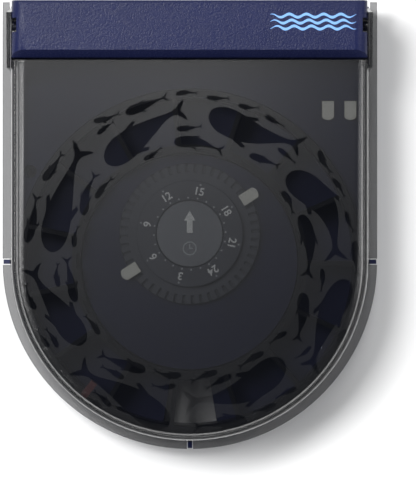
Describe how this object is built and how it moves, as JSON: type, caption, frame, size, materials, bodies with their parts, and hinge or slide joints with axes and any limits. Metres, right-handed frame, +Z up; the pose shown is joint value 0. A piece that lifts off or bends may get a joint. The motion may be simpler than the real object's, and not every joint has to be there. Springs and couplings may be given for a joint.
{
  "type": "automatic fish feeder",
  "caption": "D-shaped battery fish feeder: a ring of food compartments turns under a smoked hinged lid over an exit hole, moved on by tabs clipped in an hour dial.",
  "frame": {"origin": "middle of the feeder's footprint, on the surface that its feet rest on", "axes": "+Z up, +Y towards the rear bar with the lid's hinge, -Y towards the rounded front with the feed exit, +X to the right seen from the front"},
  "size_m": [0.145, 0.173, 0.048],
  "materials": {
    "navy_plastic": "fine-grained matt",
    "black_gloss": "glossy, slightly translucent",
    "black_matte": "satin",
    "smoke_clear": "smoked and see-through, finely textured but for clear fish shapes",
    "white_plastic": "satin",
    "red_plastic": "glossy",
    "rubber": "matt",
    "plated_steel": "zinc plated",
    "nickel": "bright nickel",
    "brass": "cut",
    "board": "green solder mask",
    "cell_sleeve": "printed sleeve, plain",
    "red_sheath": "smooth",
    "black_sheath": "smooth"
  },
  "bodies": {
    "housing": {"base_tray": "navy_plastic", "rear_bar": "navy_plastic", "bar_screws": "plated_steel", "bottom_cover": "navy_plastic", "cover_screws": "plated_steel", "rubber_feet": "rubber", "battery_cell": "cell_sleeve", "contact_plate": "nickel", "contact_spring": "nickel", "wire_red": "red_sheath", "wire_black": "black_sheath", "circuit_board": "board", "quartz_crystal": "nickel", "timer_chip": "black_matte", "clock_motor": "plated_steel", "reduction_axle": "plated_steel", "gearbox_plate": "black_matte", "gearbox_screws": "plated_steel", "centre_post": "plated_steel", "arrow_disc": "black_matte"},
    "lid": {"lid": "smoke_clear"},
    "food_ring": {"food_ring": "black_gloss", "start_marker": "red_plastic"},
    "dial": {"timer_dial": "black_matte", "dial_gear": "white_plastic"},
    "evening_tab": {"tab_evening": "white_plastic"},
    "morning_tab": {"tab_morning": "white_plastic"},
    "inner_spare_tab": {"spare_tab_inner": "white_plastic"},
    "outer_spare_tab": {"spare_tab_outer": "white_plastic"},
    "reduction_gear": {"reduction_gear": "white_plastic"},
    "motor_pinion": {"motor_pinion": "brass"},
    "battery_door": {"battery_door": "navy_plastic"}
  },
  "joints": [
    {"name": "lid_hinge", "type": "hinge", "parent": "housing", "child": "lid", "pos_m": [0, 0.0758, 0.04], "axis": [-1, 0, 0], "range_deg": [0, 100]},
    {"name": "food_ring_spin", "type": "hinge", "parent": "housing", "child": "food_ring", "pos_m": [0, -0.014, 0.02], "axis": [0, 0, 1], "continuous": true},
    {"name": "timer_dial_spin", "type": "hinge", "parent": "housing", "child": "dial", "pos_m": [0, -0.0032, 0.03], "axis": [0, 0, 1], "continuous": true},
    {"name": "reduction_gear_spin", "type": "hinge", "parent": "housing", "child": "reduction_gear", "pos_m": [0.01341, -0.01445, 0.02], "axis": [0, 0, 1], "continuous": true},
    {"name": "motor_pinion_spin", "type": "hinge", "parent": "housing", "child": "motor_pinion", "pos_m": [0.00376, -0.02594, 0.02], "axis": [0, 0, 1], "continuous": true},
    {"name": "evening_tab_lift", "type": "slide", "parent": "dial", "child": "evening_tab", "axis": [0, 0, 1], "range_m": [0, 0.006]},
    {"name": "morning_tab_lift", "type": "slide", "parent": "dial", "child": "morning_tab", "axis": [0, 0, 1], "range_m": [0, 0.006]},
    {"name": "inner_spare_tab_lift", "type": "slide", "parent": "housing", "child": "inner_spare_tab", "axis": [0, 0, 1], "range_m": [0, 0.006]},
    {"name": "outer_spare_tab_lift", "type": "slide", "parent": "housing", "child": "outer_spare_tab", "axis": [0, 0, 1], "range_m": [0, 0.006]},
    {"name": "battery_door_slide", "type": "slide", "parent": "housing", "child": "battery_door", "axis": [0, 1, 0], "range_m": [0, 0.02]}
  ],
  "couplings": [
    {"joint": "food_ring_spin", "follows": "timer_dial_spin", "ratio": 0.13333},
    {"joint": "reduction_gear_spin", "follows": "timer_dial_spin", "ratio": -6},
    {"joint": "motor_pinion_spin", "follows": "timer_dial_spin", "ratio": 24}
  ]
}
